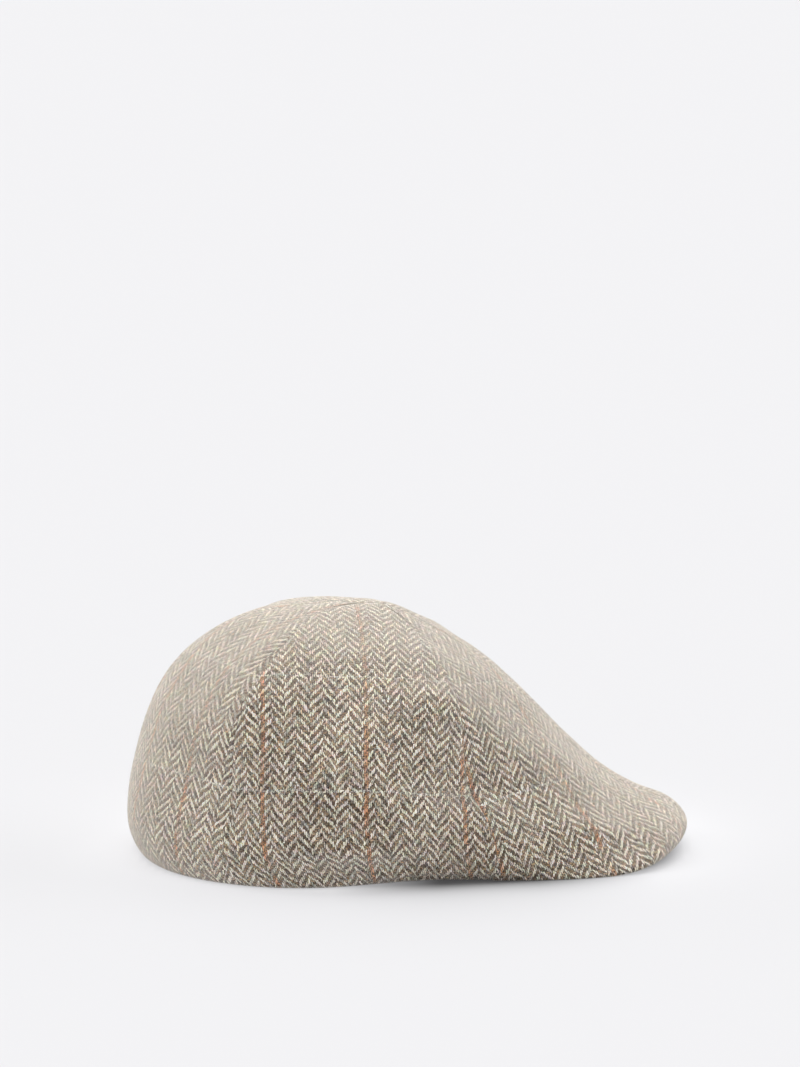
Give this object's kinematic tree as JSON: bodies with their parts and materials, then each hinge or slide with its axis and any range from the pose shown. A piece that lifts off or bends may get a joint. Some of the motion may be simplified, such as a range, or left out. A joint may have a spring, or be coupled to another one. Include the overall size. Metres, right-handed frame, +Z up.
{
  "type": "herringbone duckbill flat cap",
  "caption": "Soft duckbill flat cap: a rounded crown of gores whose front panels run down over a short curved peak, open below for the head.",
  "frame": {"origin": "centre of the cap's bounding box in plan, on the surface that its lower edge rests on", "axes": "+X towards the peak's tip, +Z up through the crown, +Y towards the wearer's left"},
  "size_m": [0.2746, 0.19, 0.1234],
  "materials": {
    "front_panel_right_cloth": "brushed wool herringbone tweed",
    "front_panel_left_cloth": "brushed wool herringbone tweed",
    "side_panel_right_cloth": "brushed wool herringbone tweed",
    "side_panel_left_cloth": "brushed wool herringbone tweed",
    "back_panel_right_cloth": "brushed wool herringbone tweed",
    "back_panel_left_cloth": "brushed wool herringbone tweed",
    "peak_cloth": "brushed wool herringbone tweed"
  },
  "bodies": {
    "root": {"front_panel_right": "front_panel_right_cloth", "front_panel_left": "front_panel_left_cloth", "side_panel_right": "side_panel_right_cloth", "side_panel_left": "side_panel_left_cloth", "back_panel_right": "back_panel_right_cloth", "back_panel_left": "back_panel_left_cloth", "peak": "peak_cloth"}
  },
  "joints": []
}
